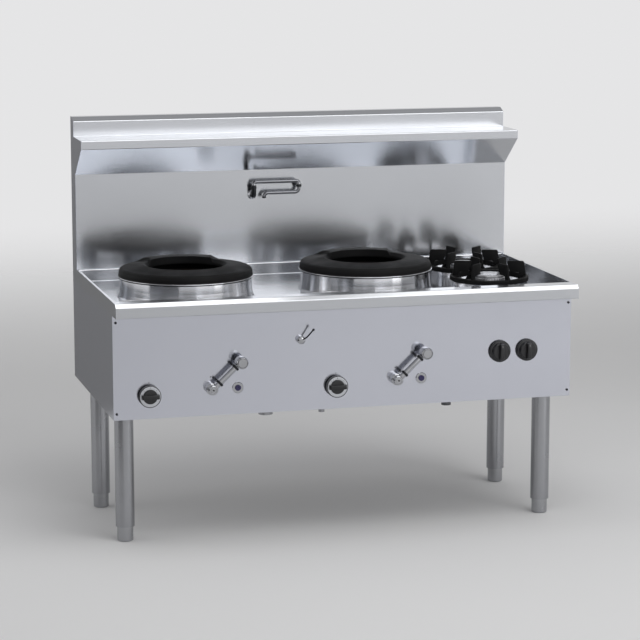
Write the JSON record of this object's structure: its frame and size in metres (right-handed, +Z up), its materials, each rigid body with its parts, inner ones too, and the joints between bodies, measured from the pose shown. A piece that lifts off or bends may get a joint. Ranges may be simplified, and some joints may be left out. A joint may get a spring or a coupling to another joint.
{
  "type": "wok range",
  "caption": "Free-standing gas wok range with wok burners, open burners, a sunken deck, splashback with shelf and a folding tap.",
  "frame": {"origin": "on the floor, under the centre of the outline", "axes": "+X to the right seen from the front, +Y to the back, +Z up"},
  "size_m": [1.5, 0.81, 1.295],
  "materials": {
    "brushed_stainless": "brushed in long fine lines, soft mirror",
    "polished_stainless": "bright polished stainless steel",
    "stainless_tube": "drawn tube, satin",
    "stainless_foot": "turned, satin",
    "galvanised_steel": "zinc coated",
    "chamber_steel": "heat-darkened steel plate",
    "cast_iron": "sand cast, matt black",
    "burner_alloy": "cast and machined",
    "black_plastic": "moulded phenolic, satin",
    "button_plastic": "moulded, glossy",
    "chrome": "plated, polished",
    "brass": "machined",
    "copper": "drawn copper tube",
    "gas_pipe": "zinc-coated steel pipe",
    "steel_stem": "turned steel"
  },
  "bodies": {
    "body": {"deck": "brushed_stainless", "front_panel": "brushed_stainless", "left_side_panel": "brushed_stainless", "right_side_panel": "brushed_stainless", "rear_panel": "brushed_stainless", "splashback": "brushed_stainless", "end_caps": "brushed_stainless", "long_rails": "galvanised_steel", "side_rails": "galvanised_steel", "cross_rails": "galvanised_steel", "front_left_leg": "stainless_tube", "front_right_leg": "stainless_tube", "rear_left_leg": "stainless_tube", "rear_right_leg": "stainless_tube", "left_wok_chamber": "chamber_steel", "left_wok_skirt": "polished_stainless", "left_wok_burner": "cast_iron", "right_wok_chamber": "chamber_steel", "right_wok_skirt": "polished_stainless", "right_wok_burner": "cast_iron", "front_burner_bowl": "polished_stainless", "front_burner_head": "burner_alloy", "rear_burner_bowl": "polished_stainless", "rear_burner_head": "burner_alloy", "gas_manifold": "gas_pipe", "pilot_valves": "brass", "lever_valves": "brass", "burner_valves": "brass", "water_valve": "brass", "branch_pipes": "copper", "water_pipes": "stainless_tube", "igniter_bezels": "chrome", "tap_body": "chrome", "drain_outlet": "stainless_tube", "panel_screws": "steel_stem"},
    "left_pilot_stem": {"left_pilot_stem": "steel_stem"},
    "left_pilot_knob": {"left_pilot_knob": "black_plastic"},
    "left_gas_lever": {"left_gas_lever": "chrome", "left_lever_grip": "chrome"},
    "left_igniter_button": {"left_igniter_button": "button_plastic"},
    "left_wok_ring": {"left_wok_ring": "cast_iron"},
    "right_pilot_stem": {"right_pilot_stem": "steel_stem"},
    "right_pilot_knob": {"right_pilot_knob": "black_plastic"},
    "right_gas_lever": {"right_gas_lever": "chrome", "right_lever_grip": "chrome"},
    "right_igniter_button": {"right_igniter_button": "button_plastic"},
    "right_wok_ring": {"right_wok_ring": "cast_iron"},
    "front_burner_knob": {"front_burner_knob": "black_plastic"},
    "front_trivet": {"front_trivet": "cast_iron"},
    "front_burner_cap": {"front_burner_cap": "burner_alloy"},
    "rear_burner_knob": {"rear_burner_knob": "black_plastic"},
    "rear_trivet": {"rear_trivet": "cast_iron"},
    "rear_burner_cap": {"rear_burner_cap": "burner_alloy"},
    "water_lever": {"water_lever": "chrome"},
    "tap_upper_arm": {"tap_upper_arm": "chrome"},
    "tap_spout": {"tap_spout": "chrome"},
    "front_left_foot": {"front_left_foot": "stainless_foot"},
    "front_right_foot": {"front_right_foot": "stainless_foot"},
    "rear_left_foot": {"rear_left_foot": "stainless_foot"},
    "rear_right_foot": {"rear_right_foot": "stainless_foot"}
  },
  "joints": [
    {"name": "left_pilot_push", "type": "slide", "parent": "body", "child": "left_pilot_stem", "axis": [0, 1, 0], "range_m": [0, 0.005], "stiffness_N_per_m": 400},
    {"name": "left_pilot_turn", "type": "hinge", "parent": "left_pilot_stem", "child": "left_pilot_knob", "pos_m": [-0.638, -0.339, 0.4895], "axis": [0, 1, 0], "range_deg": [-180, 0]},
    {"name": "left_lever_turn", "type": "hinge", "parent": "body", "child": "left_gas_lever", "pos_m": [-0.4428, -0.339, 0.5039], "axis": [0, 1, 0], "range_deg": [-90, 0]},
    {"name": "left_igniter_press", "type": "slide", "parent": "body", "child": "left_igniter_button", "axis": [0, 1, 0], "range_m": [0, 0.005], "stiffness_N_per_m": 500},
    {"name": "left_ring_lift", "type": "slide", "parent": "body", "child": "left_wok_ring", "axis": [0, 0, 1], "range_m": [0, 0.15]},
    {"name": "right_pilot_push", "type": "slide", "parent": "body", "child": "right_pilot_stem", "axis": [0, 1, 0], "range_m": [0, 0.005], "stiffness_N_per_m": 400},
    {"name": "right_pilot_turn", "type": "hinge", "parent": "right_pilot_stem", "child": "right_pilot_knob", "pos_m": [-0.038, -0.339, 0.4895], "axis": [0, 1, 0], "range_deg": [-180, 0]},
    {"name": "right_lever_turn", "type": "hinge", "parent": "body", "child": "right_gas_lever", "pos_m": [0.1572, -0.339, 0.5039], "axis": [0, 1, 0], "range_deg": [-90, 0]},
    {"name": "right_igniter_press", "type": "slide", "parent": "body", "child": "right_igniter_button", "axis": [0, 1, 0], "range_m": [0, 0.005], "stiffness_N_per_m": 500},
    {"name": "right_ring_lift", "type": "slide", "parent": "body", "child": "right_wok_ring", "axis": [0, 0, 1], "range_m": [0, 0.15]},
    {"name": "front_knob_turn", "type": "hinge", "parent": "body", "child": "front_burner_knob", "pos_m": [0.507, -0.339, 0.575], "axis": [0, 1, 0], "range_deg": [-180, 0]},
    {"name": "front_trivet_lift", "type": "slide", "parent": "body", "child": "front_trivet", "axis": [0, 0, 1], "range_m": [0, 0.1]},
    {"name": "front_cap_lift", "type": "slide", "parent": "body", "child": "front_burner_cap", "axis": [0, 0, 1], "range_m": [0, 0.05]},
    {"name": "rear_knob_turn", "type": "hinge", "parent": "body", "child": "rear_burner_knob", "pos_m": [0.599, -0.339, 0.575], "axis": [0, 1, 0], "range_deg": [-180, 0]},
    {"name": "rear_trivet_lift", "type": "slide", "parent": "body", "child": "rear_trivet", "axis": [0, 0, 1], "range_m": [0, 0.1]},
    {"name": "rear_cap_lift", "type": "slide", "parent": "body", "child": "rear_burner_cap", "axis": [0, 0, 1], "range_m": [0, 0.05]},
    {"name": "water_lever_turn", "type": "hinge", "parent": "body", "child": "water_lever", "pos_m": [-0.154, -0.339, 0.644], "axis": [0, 1, 0], "range_deg": [-90, 0]},
    {"name": "tap_arm_turn", "type": "hinge", "parent": "body", "child": "tap_upper_arm", "pos_m": [-0.151, 0.292, 1.0693], "axis": [0, 0, 1], "range_deg": [-180, 0]},
    {"name": "tap_spout_turn", "type": "hinge", "parent": "tap_upper_arm", "child": "tap_spout", "pos_m": [0.005, 0.292, 1.0313], "axis": [0, 0, 1], "range_deg": [0, 180]},
    {"name": "front_left_foot_height", "type": "slide", "parent": "body", "child": "front_left_foot", "axis": [0, 0, 1], "range_m": [-0.025, 0]},
    {"name": "front_right_foot_height", "type": "slide", "parent": "body", "child": "front_right_foot", "axis": [0, 0, 1], "range_m": [-0.025, 0]},
    {"name": "rear_left_foot_height", "type": "slide", "parent": "body", "child": "rear_left_foot", "axis": [0, 0, 1], "range_m": [-0.025, 0]},
    {"name": "rear_right_foot_height", "type": "slide", "parent": "body", "child": "rear_right_foot", "axis": [0, 0, 1], "range_m": [-0.025, 0]}
  ]
}
